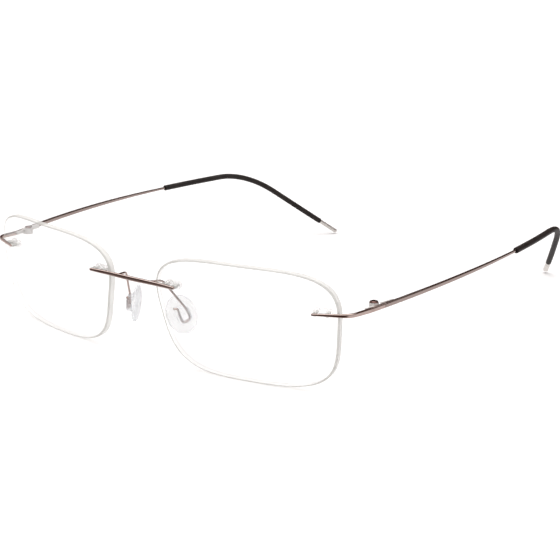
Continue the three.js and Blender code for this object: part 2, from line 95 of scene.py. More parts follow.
HINGE_X, HINGE_Y, HINGE_Z, TOP_Z = 66.14, 19.0, 1.35, 2.74
RISE_END = 63.25
LEVEL_END = RISE_END + 24.1
BEND_RADIUS, BEND_ANGLE = 31.0, math.radians(40.9)
BEND_END = LEVEL_END + BEND_RADIUS * BEND_ANGLE
TEMPLE_END = BEND_END + 25.0
RUBBER_END = TEMPLE_END - 6.6
TEMPLE_BOW, TEMPLE_PULL, TEMPLE_CURL = 7.6, 6.61, 0.514
TEMPLE_DEPTHS = ((1, 0.8), (63, 0.62))
TEMPLE_HEIGHTS = ((12, 1.27), (34, 1.12), (50, 0.9), (63, 0.74))
CORE_SIZE, BLADE_SIZE = (0.62, 0.74), (1.5, 1.35)
BLADE_SHOULDER, BLADE_END_RADIUS = 0.15, 0.5
RUBBER_RADIUS, RUBBER_BORE, RUBBER_LIP = 0.88, (0.44, 0.5), 0.16

SEAM, SEAM_GAP, SEAM_RADIUS = 1.35, 0.08, 0.06
SCREW_PLACE = -0.75
KNUCKLE_RADIUS, KNUCKLE_CLEARANCE, KNUCKLE_HALF, KNUCKLE_MID = 1.25, 1.47, 0.9, 0.3
LEAF_OUTER, LEAF_DEPTH = 1.28, 0.45
LEAF_BOTTOM, LEAF_TOP, LEAF_RISE = -0.5, 0.4, 0.35
LEAF_FRONT, LEAF_BACK = 4.2, 6.0
HINGE_DROP, HINGE_PLAY, HINGE_ROUNDING, HINGE_TUCK = -0.05, 0.04, 0.05, 0.02
SCREW_RADIUS, SCREW_BORE, SCREW_HEAD, SCREW_HEIGHT = 0.42, 0.5, 1.1, 0.5
SCREW_DOME, SCREW_CHAMFER, HEAD_CHAMFER, SCREW_ROUNDING = 0.3, 0.08, 0.05, 0.03
SLOT_HALF, SLOT_DEPTH = 0.14, 0.26

PAD_CENTRE = Vector((8.4, 7.6, -8.65))
PAD_YAW, PAD_PITCH = math.radians(30), math.radians(7.5)
PAD_LONG_AXIS = Vector((-0.4, -0.2, 0.9))
PAD_HALF, PAD_RIM = Vector((4.25, 5.6, 0.75)), 0.38
BOSS_HALF, BOSS_CORNER, BOSS_TOP, BOSS_ROUNDING = (1.95, 2.2), 0.3, 2.65, 0.35
ARM_RADIUS, ARM_CHANNEL, CHANNEL_SLACK = 0.3, 0.45, 1.2
SOLDER_LENGTH, SOLDER_FLARE, ARM_END_RADIUS = 0.3, 0.1, 0.2
ARM_ROOT, ARM_STUB, ARM_ELBOW = (5.8, 2.05), 0.8, Vector((6.7, 2.3, 1.7))
HOOK_HEIGHT, HOOK_HALF, HOOK_TOP, HOOK_BOTTOM = 2.15, 1.3, 1.25, -1.75
HOOK_END = ((0.85, 2.35), (1.95, 3.05))
ARM_BENDS = (0.5, 1.2, 0.7, 1.25, 1.25, 0.4)

# The last ring of a closed end lies just short of its middle: this distance from the axis, this
# share of a lens's outline, or this angle up a dome. Cutting tools run past what they cut or,
# where their face would fall on another one, stop short of it by the slack.
NEAR_AXIS, PIN_LAST_RING, SCREW_LAST_RING = 0.02, 1.5, math.radians(85)
PAD_LAST_RING = math.radians(88)
CUT_PAST, DRILL_REACH, SCREW_REACH, FACE_SLACK = 1, 4, 2, 0.001


# ---- Shapes: a shape is a list of points and a list of faces ------------------------------


def size_at(place, stops):
    """Size at a place along a bar, read straight between the nearest (place, size) stops."""
    if place <= stops[0][0]:
        return stops[0][1]
    for (low, first), (high, second) in zip(stops, stops[1:]):
        if place <= high:
            return first + (second - first) * (place - low) / (high - low)
    return stops[-1][1]


def evenly(start, end, count):
    return [start + (end - start) * i / count for i in range(count + 1)]


def loft(rings, closed=False):
    """Joins rings of equal counts. The ends are capped, unless the last ring meets the first."""
    count = len(rings[0])
    points = [p for ring in rings for p in ring]
    faces = []
    for r in range(len(rings) if closed else len(rings) - 1):
        here, there = r * count, ((r + 1) % len(rings)) * count
        for i in range(count):
            j = (i + 1) % count
            faces.append((here + i, here + j, there + j, there + i))
    if not closed:
        faces.append(tuple(reversed(range(count))))
        faces.append(tuple(range(len(points) - count, len(points))))
    return points, faces


def rounded_rectangle(width, height, share=BAR_CORNER, steps=6):
    """Outline whose corners are quarter ellipses, each this share of the width and height."""
    corners = ((1, 1, 0), (-1, 1, 1), (-1, -1, 2), (1, -1, 3))
    outline = []
    for across, upright, quarter in corners:
        for i in range(steps + 1):
            angle = (quarter + i / steps) * math.pi / 2
            x = across * (0.5 - share) + share * math.cos(angle)
            y = upright * (0.5 - share) + share * math.sin(angle)
            outline.append((x * width, y * height))
    return outline


def ellipse(radius_x, radius_y, count=40):
    angles = [2 * math.pi * i / count for i in range(count)]
    return [(radius_x * math.cos(a), radius_y * math.sin(a)) for a in angles]


def inset(distance, radius):
    """How far a rounded end of this radius draws a side in, at a distance from that end."""
    if distance >= radius:
        return 0.0
    return radius - math.sqrt(max(0.0, radius**2 - (radius - distance) ** 2))


def rounded_end(end, radius, inwards, steps=6):
    """Places near an end, closer together towards it, for a rounding of this radius."""
    turns = [math.pi / 2 * i / steps for i in range(steps + 1)]
    return [end + inwards * radius * (1 - math.cos(turn)) for turn in turns]


def bent_path(points, reaches, steps=16):
    """Straight runs joined by curves that start the given reach before each corner."""
    path = [points[0]]
    for before, corner, after, reach in zip(points, points[1:], points[2:], reaches):
        enter = corner + (before - corner).normalized() * reach
        leave = corner + (after - corner).normalized() * reach
        for i in range(steps + 1):
            t = i / steps
            path.append(enter.lerp(corner, t).lerp(corner.lerp(leave, t), t))
    return [*path, points[-1]]


def follow(points):
    """Length of a run of points, and a function for the point at a distance along it."""
    reached = [0.0]
    for before, after in zip(points, points[1:]):
        reached.append(reached[-1] + (after - before).length)

    def point_at(distance):
        i = min(max(bisect_left(reached, distance), 1), len(points) - 1)
        share = (distance - reached[i - 1]) / (reached[i] - reached[i - 1])
        return points[i - 1].lerp(points[i], share)

    return reached[-1], point_at


def upright_ring(outline, point_at, place, nudge=0.1):
    """A section set across a path at a place, with its height as upright as the path allows."""
    tangent = (point_at(place + nudge) - point_at(place - nudge)).normalized()
    across = tangent.cross(UP).normalized()
    upright = across.cross(tangent)
    centre = point_at(place)
    return [centre - across * x + upright * y for x, y in outline]


def bar(places, point_at, outline_at):
    return loft([upright_ring(outline_at(place), point_at, place) for place in places])


def wire(points, radius_at, count=20, step=0.12):
    """Round wire along a path, whose rings turn as little as they can from one to the next."""
    length, point_at = follow(points)
    places = evenly(0, length, round(length / step))
    rings = []
    side = None
    for place in places:
        tangent = (point_at(place + step) - point_at(place - step)).normalized()
        side = side or tangent.orthogonal()
        side = (side - tangent * side.dot(tangent)).normalized()
        other = tangent.cross(side)
        centre = point_at(place)
        radius = radius_at(place, length)
        rings.append([centre + side * x + other * y for x, y in ellipse(radius, radius, count)])
    return loft(rings)


def lathe(profile, count):
    """Turns (radius, height) points about +Z, with a flat cap at the first and at the last."""
    return loft([[Vector((x, y, z)) for x, y in ellipse(r, r, count)] for r, z in profile])


def cylinder(radius, low, high, count=48):
    return lathe([(radius, low), (radius, high)], count)


def box(low, high):
    x0, y0, z0 = low
    x1, y1, z1 = high
    ring = ((x0, y0), (x1, y0), (x1, y1), (x0, y1))
    return loft([[Vector((x, y, z)) for x, y in ring] for z in (z0, z1)])


def plate(outline, low, high):
    return loft([[Vector((x, y, z)) for x, y in outline] for z in (low, high)])


def moved(shape, matrix):
    points, faces = shape
    return [matrix @ point for point in points], faces


def new_mesh(name, shape):
    mesh = bpy.data.meshes.new(name)
    mesh.from_pydata(shape[0], [], shape[1])
    mesh.validate()
    return mesh


def carve(joined, cuts, bevel=0.0):
    """Joins the first shapes, cuts the others away, and can round the edges that are left."""
    base, *others = [bpy.data.objects.new("shape", new_mesh("shape", s)) for s in joined]
    tools = [bpy.data.objects.new("tool", new_mesh("tool", s)) for s in cuts]
    for item in (base, *others, *tools):
        bpy.context.scene.collection.objects.link(item)
    for operation, items in (("UNION", others), ("DIFFERENCE", tools)):
        for item in items:
            boolean = base.modifiers.new("boolean", "BOOLEAN")
            boolean.operation, boolean.object, boolean.solver = operation, item, "EXACT"
    if bevel:
        rounding = base.modifiers.new("bevel", "BEVEL")
        rounding.width, rounding.segments = bevel, 3
        rounding.limit_method, rounding.angle_limit = "ANGLE", math.radians(40)
    evaluated = base.evaluated_get(bpy.context.evaluated_depsgraph_get())
    result = bpy.data.meshes.new_from_object(evaluated)
    shape = [v.co.copy() for v in result.vertices], [tuple(f.vertices) for f in result.polygons]
    bpy.data.meshes.remove(result)
    for item in (base, *others, *tools):
        mesh = item.data
        bpy.data.objects.remove(item)
        bpy.data.meshes.remove(mesh)
    return shape


# ---- Frames of the parts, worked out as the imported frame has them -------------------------


def lens_surface(u, v, depth):
    """Depth is measured back from the front face, which bulges forwards."""
    return Vector((u, (u * u + v * v) / (2 * LENS_CURVE) + depth, v))


LENS_PLACE = (
    Matrix.Translation(LENS_CENTRE)
    @ Matrix.Rotation(LENS_WRAP, 4, "Z")
    @ Matrix.Rotation(LENS_TILT, 4, "X")
)


def basis(x, y, z, origin):
    matrix = Matrix((x, y, z)).transposed().to_4x4()
    matrix.translation = origin
    return matrix


def pin_frame(u, v):
    """Frame of a pin pair: X along the bar, Y straight back through the lens, Z upwards."""
    through = LENS_PLACE.to_3x3() @ Vector((-u / LENS_CURVE, 1, -v / LENS_CURVE))
    through.normalize()
    along = through.cross(UP).normalized()
    return basis(along, through, along.cross(through), LENS_PLACE @ lens_surface(u, v, 0))


NASAL_FRAME, TEMPORAL_FRAME = pin_frame(*NASAL_PINS), pin_frame(*TEMPORAL_PINS)


def on_lens(place, along, depth):
    """Point on a bar's centreline where it crosses a lens, at a distance from the pins."""
    return place @ Vector((along, -BAR_GAP - depth / 2, 0))


def temple_point(distance):
    """Centreline of the temple at a distance from the hinge, along its side profile."""
    arc = min(max((distance - LEVEL_END) / BEND_RADIUS, 0), BEND_ANGLE)
    tail = max(0, distance - BEND_END)
    drop = BEND_RADIUS * (1 - math.cos(arc)) + tail * math.sin(BEND_ANGLE)
    run = BEND_RADIUS * math.sin(arc) + tail * math.cos(BEND_ANGLE)
    y = HINGE_Y + min(distance, LEVEL_END) + run
    z = TOP_Z - (TOP_Z - HINGE_Z) * max(0, 1 - distance / RISE_END) ** 2 - drop
    back = (y - HINGE_Y) / RISE_END
    bowed = HINGE_X + TEMPLE_BOW * back - TEMPLE_PULL * back**2
    return Vector((bowed - TEMPLE_CURL * (TOP_Z - z), y, z))


def hinge_frame():
    """Frame of the screw axis: X outwards to the bar, Y back along the temple."""
    centre = temple_point(SCREW_PLACE)
    ahead = temple_point(SEAM) - centre
    yaw = math.atan2(ahead.x, ahead.y)
    beside = LEAF_OUTER + JOIN_GAP + ENDPIECE_DEPTHS[-1][1] / 2
    turned = Matrix.Translation(centre) @ Matrix.Rotation(-yaw, 4, "Z")
    return turned @ Matrix.Translation((-beside, 0, -HINGE_DROP))


def pad_frame():
    """Frame of a pad: X towards the wearer's ear, Y up its long axis, Z out of its boss."""
    flat = math.cos(PAD_PITCH)
    outwards = Vector((math.cos(PAD_YAW) * flat, -math.sin(PAD_YAW) * flat, math.sin(PAD_PITCH)))
    long = (PAD_LONG_AXIS - outwards * PAD_LONG_AXIS.dot(outwards)).normalized()
    return basis(long.cross(outwards), long, outwards, PAD_CENTRE)


HINGE_PLACE, PAD_PLACE = hinge_frame(), pad_frame()


def row_placement():
    """Takes the wearer's frame in millimetres to the row frame in metres, by the left hinge."""
    hinge = next(joint for joint in frame["joints"] if joint["name"] == "fold_left")
    pitch = Matrix.Rotation(math.atan2(-hinge["axis"][1], hinge["axis"][2]), 4, "X")
    turned = pitch @ Matrix.Scale(MILLIMETRE, 4)
    shift = Vector(hinge["pos_m"]) - turned @ HINGE_PLACE.translation
    return Matrix.Translation(shift) @ turned


ROW_PLACE = row_placement()


# ---- Materials ----------------------------------------------------------------------------


NOISE_LOW, NOISE_HIGH = 0.3, 0.7
SOCKETS = {"metallic": "Metallic", "roughness": "Roughness", "specular": "Specular IOR Level"}


class Finish:
    """A material with one Principled shader, and short ways to drive it by noise."""

    def __init__(self, name, colour, **settings):
        self.material = bpy.data.materials.new(name)
        self.material.use_nodes = True
        self.nodes = self.material.node_tree.nodes
        self.shader = self.nodes["Principled BSDF"]
        self.output = self.nodes["Material Output"]
        self.shader.inputs["Base Color"].default_value = (*colour, 1)
        for socket, value in settings.items():
            self.shader.inputs[SOCKETS[socket]].default_value = value

    def link(self, source, target):
        self.material.node_tree.links.new(source, target)

    def noise(self, scale, stretch=(1, 1, 1), detail=3.0):
        """Noise in the piece's own space, with scale in waves per metre before stretching."""
        place = self.nodes.new("ShaderNodeTexCoord")
        mapping = self.nodes.new("ShaderNodeMapping")
        mapping.inputs["Scale"].default_value = stretch
        texture = self.nodes.new("ShaderNodeTexNoise")
        texture.inputs["Scale"].default_value = scale
        texture.inputs["Detail"].default_value = detail
        self.link(place.outputs["Object"], mapping.inputs["Vector"])
        self.link(mapping.outputs["Vector"], texture.inputs["Vector"])
        return texture.outputs["Fac"]

    def vary_colour(self, fac, first, second):
        """Colour between two tints, as the noise says."""
        ramp = self.nodes.new("ShaderNodeValToRGB")
        ramp.color_ramp.elements[0].position = NOISE_LOW
        ramp.color_ramp.elements[1].position = NOISE_HIGH
        ramp.color_ramp.elements[0].color = (*first, 1)
        ramp.color_ramp.elements[1].color = (*second, 1)
        self.link(fac, ramp.inputs["Fac"])
        self.link(ramp.outputs["Color"], self.shader.inputs["Base Color"])

    def vary_roughness(self, fac, low, high):
        """Roughness between two values, as the noise says."""
        span = self.nodes.new("ShaderNodeMapRange")
        span.inputs["From Min"].default_value = NOISE_LOW
        span.inputs["From Max"].default_value = NOISE_HIGH
        span.inputs["To Min"].default_value = low
        span.inputs["To Max"].default_value = high
        self.link(fac, span.inputs["Value"])
        self.link(span.outputs["Result"], self.shader.inputs["Roughness"])

    def bump(self, fac, strength, height):
        """Relief of this height in metres."""
        node = self.nodes.new("ShaderNodeBump")
        node.inputs["Strength"].default_value = strength
        node.inputs["Distance"].default_value = height
        self.link(fac, node.inputs["Height"])
        self.link(node.outputs["Normal"], self.shader.inputs["Normal"])

    def clear(self, low, high, facing):
        """Covers what is behind it by the low share, and more where it turns away from view."""
        turned = self.nodes.new("ShaderNodeLayerWeight")
        turned.inputs["Blend"].default_value = 0.8
        self.cover(turned.outputs["Facing"], low, high, facing)

    def clear_from_inside(self, outside, inside):
        """Covers what is behind it by one share from outside, and by another from inside."""
        geometry = self.nodes.new("ShaderNodeNewGeometry")
        self.cover(geometry.outputs["Backfacing"], outside, inside, (0.0, 1.0))

    def cover(self, value, low, high, between):
        """Mixes the shader with clear space, as a value goes from one end to the other."""
        span = self.nodes.new("ShaderNodeMapRange")
        ends = {"From Min": between[0], "From Max": between[1], "To Min": low, "To Max": high}
        for socket, end in ends.items():
            span.inputs[socket].default_value = end
        through = self.nodes.new("ShaderNodeBsdfTransparent")
        mix = self.nodes.new("ShaderNodeMixShader")
        self.link(value, span.inputs["Value"])
        self.link(span.outputs["Result"], mix.inputs["Fac"])
        self.link(through.outputs["BSDF"], mix.inputs[1])
        self.link(self.shader.outputs["BSDF"], mix.inputs[2])
        self.link(mix.outputs["Shader"], self.output.inputs["Surface"])


def polished_plating():
    finish = Finish("polished_plating", (0.6, 0.48, 0.44), metallic=1.0)
    finish.vary_colour(finish.noise(220), (0.55, 0.43, 0.39), (0.68, 0.56, 0.52))
    finish.vary_roughness(finish.noise(900, detail=5), 0.1, 0.2)
    finish.bump(finish.noise(1500, detail=4), 0.25, 8e-7)
    return finish.material


def satin_plating():
    finish = Finish("satin_plating", (0.5, 0.41, 0.38), metallic=1.0)
    grain = finish.noise(5000, (1, 0.03, 1), detail=5)
    finish.vary_colour(finish.noise(160, (1, 0.3, 1)), (0.44, 0.36, 0.335), (0.52, 0.435, 0.405))
    finish.vary_roughness(grain, 0.16, 0.26)
    finish.bump(grain, 0.3, 5e-7)
    return finish.material


def bare_metal(name, tint, low, high, metallic=1.0):
    finish = Finish(name, tint, metallic=metallic)
    darker = tuple(0.85 * part for part in tint)
    finish.vary_colour(finish.noise(350), darker, tint)
    finish.vary_roughness(finish.noise(2500, detail=5), low, high)
    finish.bump(finish.noise(4000, detail=4), 0.3, 4e-7)
    return finish.material


def soft_rubber():
    finish = Finish("soft_rubber", (0.016, 0.012, 0.011), specular=0.3)
    finish.vary_colour(finish.noise(300), (0.012, 0.009, 0.008), (0.024, 0.018, 0.016))
    finish.vary_roughness(finish.noise(1200, detail=5), 0.42, 0.58)
    finish.bump(finish.noise(6000, detail=6), 0.35, 1.2e-5)
    return finish.material


def clear_plastic():
    finish = Finish("clear_plastic", (0.8, 0.8, 0.79), specular=0.5)
    finish.vary_roughness(finish.noise(900), 0.08, 0.2)
    finish.bump(finish.noise(1400), 0.2, 8e-6)
    finish.clear(0.08, 0.5, (0.2, 1.0))
    return finish.material


def silicone(name, low, high):
    finish = Finish(name, (0.74, 0.77, 0.8), specular=0.35)
    finish.vary_roughness(finish.noise(500), 0.16, 0.3)
    finish.bump(finish.noise(900), 0.3, 1.5e-5)
    finish.clear(low, high, (0.3, 1.0))
    return finish.material


def lens_face():
    finish = Finish("lens_face", (0.95, 0.96, 0.96), specular=0.35)
    finish.vary_roughness(finish.noise(60), 0.01, 0.03)
    finish.clear(0.012, 0.16, (0.35, 0.8))
    return finish.material


def ground_glass(name, shade, outside, inside):
    finish = Finish(name, shade, specular=0.4)
    grain = finish.noise(3500, detail=5)
    finish.vary_colour(finish.noise(250), tuple(0.92 * part for part in shade), shade)
    finish.vary_roughness(grain, 0.3, 0.5)
    finish.bump(grain, 0.4, 8e-6)
    finish.clear_from_inside(outside, inside)
    return finish.material


POLISHED, SATIN = polished_plating(), satin_plating()
BLADE = bare_metal("brushed_blade", (0.95, 0.92, 0.88), 0.2, 0.32)
HINGE_METAL = bare_metal("tumbled_silver", (0.8, 0.78, 0.76), 0.4, 0.55, 0.55)
SCREW_METAL = bare_metal("dark_screw", (0.24, 0.14, 0.12), 0.08, 0.16)
PIN_METAL = bare_metal("bright_pin", (0.85, 0.83, 0.81), 0.3, 0.4, 0.6)
RUBBER, PLASTIC = soft_rubber(), clear_plastic()
SILICONE = silicone("silicone", 0.24, 0.5)
SILICONE_CHANNEL = silicone("silicone_channel", 0.04, 0.12)
LENS_FACE = lens_face()
LENS_EDGE = ground_glass("lens_edge", (0.74, 0.74, 0.71), 0.65, 0.16)
# The bevel and a strip of clear face beside it get a darker grey than the ground edge. This darker
# tone is a painted shade line that stands in for the dark line light draws along the lens's rim.
LENS_BEVEL_AND_PAINTED_LINE = ground_glass("lens_bevel_painted_shade", (0.5, 0.5, 0.47), 0.75, 0.22)


# ---- Pieces -------------------------------------------------------------------------------


SHARP_EDGE = math.radians(35)


def piece(name, shape, sign, body, slot, materials, pick=None):
    """Places a left-hand shape on its side, smooths it and lets it stand for its CAD node."""
    points, faces = shape
    place = ROW_PLACE @ Matrix.Diagonal((sign, 1, 1, 1))
    if sign < 0:
        faces = [tuple(reversed(face)) for face in faces]
    mesh = new_mesh(name, ([place @ point for point in points], faces))
    mesh.shade_smooth()
    mesh.set_sharp_from_angle(angle=SHARP_EDGE)
    for material in materials:
        mesh.materials.append(material)
    if pick:
        back_to_left = place.inverted()
        for polygon in mesh.polygons:
            polygon.material_index = pick(back_to_left @ polygon.center)
    thing = bpy.data.objects.new(name + "_fine", mesh)
    # A clear lens casts no shadow, or its ground edge would draw a dark line on the floor.
    thing.visible_shadow = slot != "clear_lens"
    bpy.context.scene.collection.objects.link(thing)
    weighted = thing.modifiers.new("weighted_normals", "WEIGHTED_NORMAL")
    weighted.keep_sharp = True
    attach(thing, body)
    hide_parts(name)


def lens_outline(index, count):
    """Point of the outline, whose quarters are superellipses, on the lens's own U and V."""
    angle = 2 * math.pi * index / count
    c, s = math.cos(angle), math.sin(angle)
    edge = TEMPORAL_EDGE if c >= 0 else NASAL_EDGE
    power = 2 / edge["top" if s >= 0 else "bottom"]
    v = LENS_HEIGHT / 2 * math.copysign(abs(s) ** power, s)
    u = LENS_WIDTH / 2 * math.copysign(abs(c) ** power, c) * (1 + edge["spread"] * v)
    return u, v + LENS_TOP_SLOPE * u


def drawn_in(distance):
    """Share of the lens's height that is left when its outline is drawn in by a distance."""
    return 1 - distance / (LENS_HEIGHT / 2)


# Share of the lens's height where the painted shade line beside the bevel ends on the face.
PAINTED_LINE_SHARE = drawn_in(LENS_BEVEL + PAINTED_LINE_WIDTH)


def lens_blank(count=240):
    """Lens before drilling: domed faces, a flat ground edge and small bevels between them."""
    outline = [lens_outline(-i, count) for i in range(count)]
    rim = drawn_in(LENS_BEVEL)
    # A ring at the inner edge of the painted shade line lets that line end sharply.
    face = [NEAR_AXIS, *evenly(0.1, 0.9, 8), 0.96, PAINTED_LINE_SHARE, rim]
    layers = [(scale, 0) for scale in face]
    layers += [(1, LENS_BEVEL), (1, LENS_THICKNESS - LENS_BEVEL)]
    layers += [(scale, LENS_THICKNESS) for scale in reversed(face)]
    return loft([
        [LENS_PLACE @ lens_surface(u * scale, v * scale, depth) for u, v in outline]
        for scale, depth in layers
    ])


TO_Y = Matrix.Rotation(-math.pi / 2, 4, "X")


def lens_shape():
    drill = cylinder(PIN_HOLE, -DRILL_REACH, DRILL_REACH)
    holes = [
        moved(drill, place @ Matrix.Translation((x, 0, 0)) @ TO_Y)
        for place in (NASAL_FRAME, TEMPORAL_FRAME)
        for x in PIN_X
    ]
    return carve([lens_blank()], holes)


def rim_share(u, v):
    """How far out a point lies, from 0 in the middle of the lens to 1 on its outline."""
    edge = TEMPORAL_EDGE if u >= 0 else NASAL_EDGE
    v -= LENS_TOP_SLOPE * u
    u /= 1 + edge["spread"] * v
    power = edge["top" if v >= 0 else "bottom"]
    share = (abs(u) / (LENS_WIDTH / 2)) ** power + (abs(v) / (LENS_HEIGHT / 2)) ** power
    return share ** (1 / power)


def lens_zone(point):
    """0 on a clear face, 1 on the ground edge or a hole's wall, 2 on a bevel or beside it, where a
    darker grey is painted as a painted shade line along the rim.
    """
    u, y, v = LENS_PLACE.inverted() @ point
    depth = y - lens_surface(u, v, 0).y
    below_face = min(abs(depth), abs(depth - LENS_THICKNESS))
    if below_face >= LENS_BEVEL:
        return 1
    if rim_share(u, v) > PAINTED_LINE_SHARE:
        return 2
    # The middle of a flat polygon lies a little under the curved face that it is part of.
    return 0 if below_face < FACE_SAG else 1


def at_pins(shape):
    """One copy of a shape for each pin of a pair."""
    return [moved(shape, Matrix.Translation((x, 0, 0))) for x in PIN_X]


def plug_sleeve():
    """Clear plate behind the lens, with a hollow boss and a plug into the lens on each pin."""
    half = SLEEVE_HEIGHT / 2
    straight = SLEEVE_WIDTH / 2 - half
    outline = [
        (side * straight + half * math.cos(a), half * math.sin(a))
        for side, start in ((1, -90), (-1, 90))
        for a in (math.radians(start + 180 * i / 20) for i in range(21))
    ]
    plate_back = SLEEVE_FRONT + SLEEVE_PLATE
    plate_middle = SLEEVE_FRONT + SLEEVE_PLATE / 2
    base = plate(outline, SLEEVE_FRONT, plate_back)
    bosses = at_pins(cylinder(BOSS_RADIUS, SLEEVE_FRONT + JOIN_GAP, SLEEVE_END))
    plugs = at_pins(cylinder(PLUG_RADIUS, PLUG_INSET, plate_middle))
    bores = at_pins(cylinder(SLEEVE_BORE, -CUT_PAST, SLEEVE_END + CUT_PAST, 32))
    return moved(carve([base, *bosses, *plugs], bores, bevel=SLEEVE_ROUNDING), TO_Y)


def pin_shape(x):
    """Pin from just behind the bar to just inside the end of its boss, rounded there."""
    shoulder = SLEEVE_END - 2 * PIN_RADIUS
    round_end = [
        (PIN_RADIUS * math.cos(a), shoulder + PIN_RADIUS * math.sin(a))
        for a in evenly(0, PIN_LAST_RING, 6)
    ]
    profile = [(PIN_RADIUS, JOIN_GAP - BAR_GAP), *round_end]
    return moved(lathe(profile, 24), Matrix.Translation((x, 0, 0)) @ TO_Y)


def bridge_shape():
    tip = on_lens(NASAL_FRAME, BRIDGE_TIP, BRIDGE_DEPTH)
    inner = on_lens(NASAL_FRAME, -BRIDGE_INNER, BRIDGE_DEPTH)
    middle = Vector((0, inner.y, inner.z + BRIDGE_RISE))
    mirror = Matrix.Diagonal((-1, 1, 1))
    corners = [mirror @ tip, mirror @ inner, middle, inner, tip]
    length, point_at = follow(bent_path(corners, BRIDGE_BENDS))

    def outline_at(place):
        drawn = 2 * inset(min(place, length - place), BRIDGE_END_RADIUS)
        height = size_at(abs(2 * place / length - 1), BRIDGE_HEIGHTS)
        return rounded_rectangle(BRIDGE_DEPTH - drawn, height - drawn)

    places = [
        *rounded_end(0, BRIDGE_END_RADIUS, 1),
        *evenly(0.6, length - 0.6, 90),
        *reversed(rounded_end(length, BRIDGE_END_RADIUS, -1)),
    ]
    return bar(places, point_at, outline_at)


def endpiece_shape():
    tip = on_lens(TEMPORAL_FRAME, -ENDPIECE_TIP, ENDPIECE_DEPTH)
    leave = on_lens(TEMPORAL_FRAME, ENDPIECE_RUN, ENDPIECE_DEPTH)
    seam = temple_point(SEAM - SEAM_GAP)
    side = temple_point(-LEAF_FRONT)
    corner = leave + (leave - tip).normalized() * (side.x - leave.x) * ENDPIECE_CORNER
    corner.z += ENDPIECE_LIFT
    length, point_at = follow(bent_path([tip, corner, side, seam], ENDPIECE_BENDS))

    def outline_at(place):
        at_tip = inset(place, ENDPIECE_END_RADIUS)
        at_seam = inset(length - place, SEAM_RADIUS)
        drawn = 2 * at_tip + 2 * at_seam
        share = place / length
        depth, height = size_at(share, ENDPIECE_DEPTHS), size_at(share, ENDPIECE_HEIGHTS)
        return rounded_rectangle(depth - drawn, height - drawn)

    places = [
        *rounded_end(0, ENDPIECE_END_RADIUS, 1),
        *evenly(0.4, length - 0.2, 110),
        *reversed(rounded_end(length, SEAM_RADIUS, -1)),
    ]
    return bar(places, point_at, outline_at)


def temple_size(distance):
    """Depth and height of the temple: a tapering bar, a core in the rubber, then a blade."""
    if distance > RUBBER_END + BLADE_SHOULDER / 2:
        return BLADE_SIZE
    if distance > RISE_END:
        return CORE_SIZE
    return size_at(distance, TEMPLE_DEPTHS), size_at(distance, TEMPLE_HEIGHTS)


def temple_shape():
    def outline_at(place):
        depth, height = temple_size(place)
        at_seam = 2 * inset(place - SEAM, SEAM_RADIUS)
        drawn = at_seam + 2 * inset(TEMPLE_END - place, BLADE_END_RADIUS)
        return rounded_rectangle(depth - drawn, height - drawn)

    # Each run of sections starts a short way past the end of the one before it.
    places = [
        *rounded_end(SEAM, SEAM_RADIUS, 1),
        *evenly(SEAM + 0.3, RISE_END, 120),
        *evenly(RISE_END + 0.15, LEVEL_END, 20),
        *evenly(LEVEL_END + 0.8, BEND_END, 30),
        *evenly(BEND_END + 1.2, RUBBER_END, 12),
        *evenly(RUBBER_END + BLADE_SHOULDER, TEMPLE_END - BLADE_END_RADIUS - 0.1, 12),
        *reversed(rounded_end(TEMPLE_END, BLADE_END_RADIUS, -1, 10)),
    ]
    return bar(places, temple_point, outline_at)


def behind_rubber(point):
    """1 from the middle of the rubber back to the bare blade, and 0 on the plated temple."""
    return 1 if point.y > temple_point(LEVEL_END).y else 0


def rubber_shape():
    """Tube over the core, with rounded lips. Its rings run along the outside, then the bore."""
    lips = [
        (RUBBER_LIP * (1 - math.cos(a)), RUBBER_LIP * (1 - math.sin(a)))
        for a in evenly(0, math.pi / 2, 6)
    ]
    places = [
        *evenly(RISE_END + 0.3, LEVEL_END, 40),
        *evenly(LEVEL_END + 0.6, BEND_END, 50),
        *evenly(BEND_END + 0.8, RUBBER_END - 0.3, 34),
    ]
    outer = [(RISE_END + along, RUBBER_RADIUS - drawn) for along, drawn in lips]
    outer += [(place, RUBBER_RADIUS) for place in places]
    outer += [(RUBBER_END - along, RUBBER_RADIUS - drawn) for along, drawn in reversed(lips)]
    rings = [upright_ring(ellipse(radius, radius), temple_point, place) for place, radius in outer]
    bore = [RUBBER_END, *reversed(places), RISE_END]
    rings += [upright_ring(ellipse(*RUBBER_BORE), temple_point, place) for place in bore]
    return loft(rings, closed=True)


def screw_bore():
    return cylinder(SCREW_BORE, -SCREW_REACH, SCREW_REACH)


def hinge_body_shape():
    """Leaf with two knuckles, notched so that the temple's knuckle can turn between them."""
    inner = LEAF_OUTER - LEAF_DEPTH
    leaf = box((inner, -LEAF_FRONT, LEAF_BOTTOM), (LEAF_OUTER, -HINGE_TUCK, LEAF_TOP))
    arc = [
        (KNUCKLE_RADIUS * math.cos(a), KNUCKLE_RADIUS * math.sin(a))
        for a in evenly(0, 1.5 * math.pi, 54)
    ]
    side = LEAF_OUTER - HINGE_TUCK
    outline = [(side, -KNUCKLE_RADIUS), (side, 0), *arc]
    upper = plate(outline, KNUCKLE_MID, KNUCKLE_HALF)
    lower = plate(outline, -KNUCKLE_HALF, -KNUCKLE_MID)
    notch = KNUCKLE_MID - FACE_SLACK
    slot = cylinder(KNUCKLE_CLEARANCE, -notch, notch, 64)
    solids = [leaf, upper, lower]
    return moved(carve(solids, [slot, screw_bore()], bevel=HINGE_ROUNDING), HINGE_PLACE)


